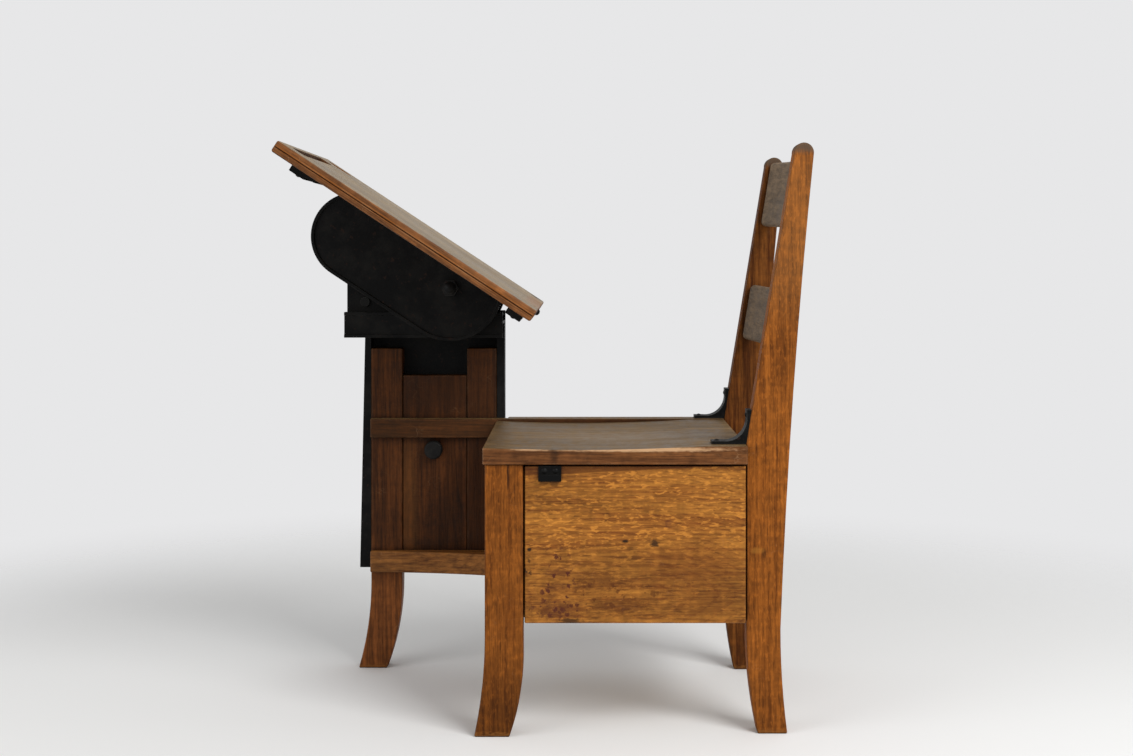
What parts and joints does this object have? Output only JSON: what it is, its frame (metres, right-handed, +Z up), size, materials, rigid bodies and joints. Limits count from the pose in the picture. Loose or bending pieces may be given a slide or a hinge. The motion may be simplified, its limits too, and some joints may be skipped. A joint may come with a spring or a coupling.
{
  "type": "school chair-desk",
  "caption": "Oak school chair with a side drawer under its seat and a pedestal beside it, which carries a desktop on iron that tilts, slides and rises.",
  "frame": {"origin": "middle of the footprint's bounding box, on the floor", "axes": "+Z up, +X towards the chair's back (the sitter faces -X), +Y towards the pedestal side"},
  "size_m": [0.725, 0.4082, 0.7777],
  "materials": {
    "oak_frame": "worn varnish",
    "oak_pedestal": "worn varnish",
    "oak_worn": "worn varnish",
    "oak_drawer": "worn varnish",
    "pale_wood": "worn varnish",
    "desk_oak": "worn varnish",
    "black_iron": "black japanned, semi-matt",
    "dark_steel": "blackened"
  },
  "bodies": {
    "frame": {"front_leg": "oak_frame", "left_rear_post": "oak_frame", "right_rear_post": "oak_frame", "crest_slat": "oak_worn", "lower_slat": "oak_worn", "seat": "oak_worn", "seat_rail": "oak_worn", "lower_rail": "oak_frame", "box_front_panel": "oak_frame", "box_rear_panel": "oak_frame", "box_back_panel": "oak_frame", "front_runner": "pale_wood", "rear_runner": "pale_wood", "left_seat_brace": "black_iron", "right_seat_brace": "black_iron", "brace_screws": "dark_steel", "pedestal_front_stile": "oak_pedestal", "pedestal_rear_stile": "oak_pedestal", "pedestal_panel": "oak_pedestal", "clamp_nut": "black_iron"},
    "drawer": {"drawer_front": "oak_drawer", "drawer_front_side": "pale_wood", "drawer_rear_side": "pale_wood", "drawer_back": "pale_wood", "drawer_bottom": "pale_wood", "drawer_pull": "black_iron", "pull_screws": "dark_steel"},
    "height_clamp": {"height_knob": "black_iron", "clamp_stud": "dark_steel"},
    "standard": {"standard_plate": "black_iron", "standard_front_guide": "black_iron", "standard_rear_guide": "black_iron", "standard_rivets": "dark_steel", "head_rail": "black_iron"},
    "carriage": {"carriage_base": "black_iron", "near_cheek": "black_iron", "far_cheek": "black_iron", "cheek_stay": "dark_steel", "near_bush": "dark_steel", "middle_bush": "dark_steel", "far_bush": "dark_steel", "pivot_bolt": "dark_steel"},
    "desktop": {"desk_board": "desk_oak", "upper_cleat": "black_iron", "lower_cleat": "black_iron", "near_sector": "black_iron", "far_sector": "black_iron", "desk_screws": "dark_steel", "edge_button": "dark_steel"},
    "tilt_nut": {"tilt_nut": "black_iron"}
  },
  "joints": [
    {"name": "drawer_slide", "type": "slide", "parent": "frame", "child": "drawer", "axis": [0, -1, 0], "range_m": [0, 0.25]},
    {"name": "height_knob_turn", "type": "hinge", "parent": "frame", "child": "height_clamp", "pos_m": [-0.1836, 0.15865, 0.333], "axis": [0, 1, 0], "continuous": true},
    {"name": "desk_height", "type": "slide", "parent": "frame", "child": "standard", "axis": [0, 0, 1], "range_m": [-0.03, 0.1]},
    {"name": "desk_slide", "type": "slide", "parent": "standard", "child": "carriage", "axis": [1, 0, 0], "range_m": [0, 0.045]},
    {"name": "desk_tilt", "type": "hinge", "parent": "carriage", "child": "desktop", "pos_m": [-0.1536, 0.14195, 0.58], "axis": [0, 1, 0], "range_deg": [-33.4, 12]},
    {"name": "tilt_nut_turn", "type": "hinge", "parent": "carriage", "child": "tilt_nut", "pos_m": [-0.1536, 0.08595, 0.58], "axis": [0, 1, 0], "continuous": true}
  ]
}
